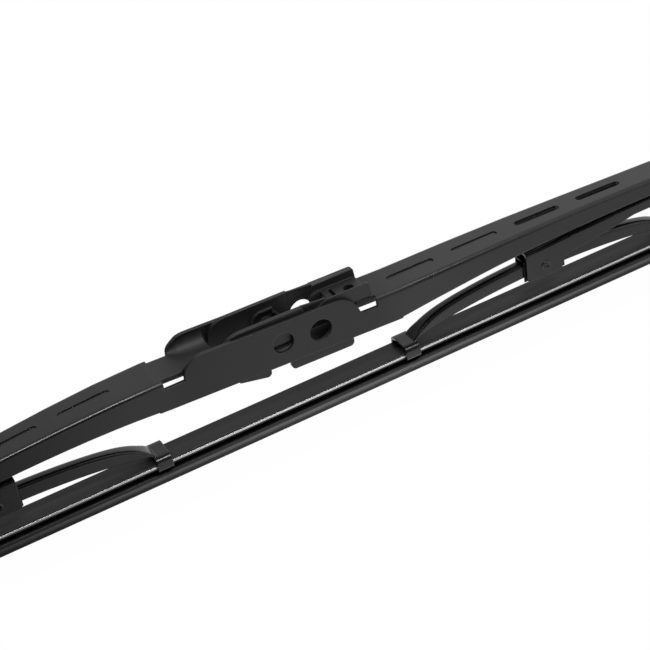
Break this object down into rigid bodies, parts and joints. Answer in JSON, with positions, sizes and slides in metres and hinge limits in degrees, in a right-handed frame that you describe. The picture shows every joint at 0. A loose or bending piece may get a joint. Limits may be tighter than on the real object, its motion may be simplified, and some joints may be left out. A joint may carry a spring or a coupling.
{
  "type": "wiper blade",
  "caption": "Bracket-type windscreen wiper blade with arched levers, claws, a rubber squeegee on spring rails and a moulded arm clip.",
  "frame": {"origin": "axis of the arm clip's pivot, in the middle plane at the middle of the blade", "axes": "+X along the blade, +Y across it along the pivots, +Z away from the glass"},
  "size_m": [0.61, 0.0124, 0.0399],
  "materials": {
    "painted_black": "satin",
    "rivet_black": "satin",
    "clip_plastic": "satin",
    "liner_plastic": "satin",
    "rubber": "satin",
    "rail_steel": "bright"
  },
  "bodies": {
    "main_bridge": {"main_bridge": "painted_black", "main_rivet_left": "rivet_black", "main_rivet_right": "rivet_black", "main_liner_left": "liner_plastic", "main_liner_right": "liner_plastic"},
    "secondary_left": {"secondary_bridge_left": "painted_black", "yoke_rivet_left_inner": "rivet_black", "yoke_liner_left_inner": "liner_plastic", "yoke_rivet_left_outer": "rivet_black", "yoke_liner_left_outer": "liner_plastic"},
    "secondary_right": {"secondary_bridge_right": "painted_black", "yoke_rivet_right_inner": "rivet_black", "yoke_liner_right_inner": "liner_plastic", "yoke_rivet_right_outer": "rivet_black", "yoke_liner_right_outer": "liner_plastic"},
    "yoke_left_outer": {"yoke_left_outer": "painted_black"},
    "yoke_left_inner": {"yoke_left_inner": "painted_black"},
    "yoke_right_inner": {"yoke_right_inner": "painted_black"},
    "yoke_right_outer": {"yoke_right_outer": "painted_black"},
    "arm_clip": {"arm_clip": "clip_plastic"},
    "squeegee": {"squeegee_rubber": "rubber", "rail_near": "rail_steel", "rail_far": "rail_steel"}
  },
  "joints": [
    {"name": "flex_right", "type": "hinge", "parent": "main_bridge", "child": "secondary_right", "pos_m": [0.166, 0, -0.0081], "axis": [0, -1, 0], "range_deg": [-4, 4], "stiffness_Nm_per_rad": 1.25},
    {"name": "flex_left", "type": "hinge", "parent": "main_bridge", "child": "secondary_left", "pos_m": [-0.166, 0, -0.0081], "axis": [0, 1, 0], "range_deg": [-4, 4]},
    {"name": "yoke_left_outer_pivot", "type": "hinge", "parent": "secondary_left", "child": "yoke_left_outer", "pos_m": [-0.249, 0, -0.0144], "axis": [0, 1, 0], "range_deg": [-2, 2]},
    {"name": "yoke_left_inner_pivot", "type": "hinge", "parent": "secondary_left", "child": "yoke_left_inner", "pos_m": [-0.083, 0, -0.0144], "axis": [0, 1, 0], "range_deg": [-2, 2]},
    {"name": "yoke_right_inner_pivot", "type": "hinge", "parent": "secondary_right", "child": "yoke_right_inner", "pos_m": [0.083, 0, -0.0144], "axis": [0, -1, 0], "range_deg": [-2, 2]},
    {"name": "yoke_right_outer_pivot", "type": "hinge", "parent": "secondary_right", "child": "yoke_right_outer", "pos_m": [0.249, 0, -0.0144], "axis": [0, -1, 0], "range_deg": [-2, 2]},
    {"name": "rubber_lift", "type": "slide", "parent": "main_bridge", "child": "squeegee", "axis": [0, 0, 1], "range_m": [-0.0075, 0.0075], "deforming": ["squeegee_rubber", "rail_near", "rail_far"]},
    {"name": "clip_tilt", "type": "hinge", "parent": "main_bridge", "child": "arm_clip", "pos_m": [0, 0, 0], "axis": [0, -1, 0], "range_deg": [-0.5, 25]}
  ],
  "couplings": [
    {"joint": "flex_left", "follows": "flex_right", "ratio": 1},
    {"joint": "yoke_left_outer_pivot", "follows": "flex_right", "ratio": 0.5},
    {"joint": "yoke_left_inner_pivot", "follows": "flex_right", "ratio": -0.5},
    {"joint": "yoke_right_inner_pivot", "follows": "flex_right", "ratio": -0.5},
    {"joint": "yoke_right_outer_pivot", "follows": "flex_right", "ratio": 0.5},
    {"joint": "rubber_lift", "follows": "flex_right", "m_per_rad": -0.10375}
  ]
}
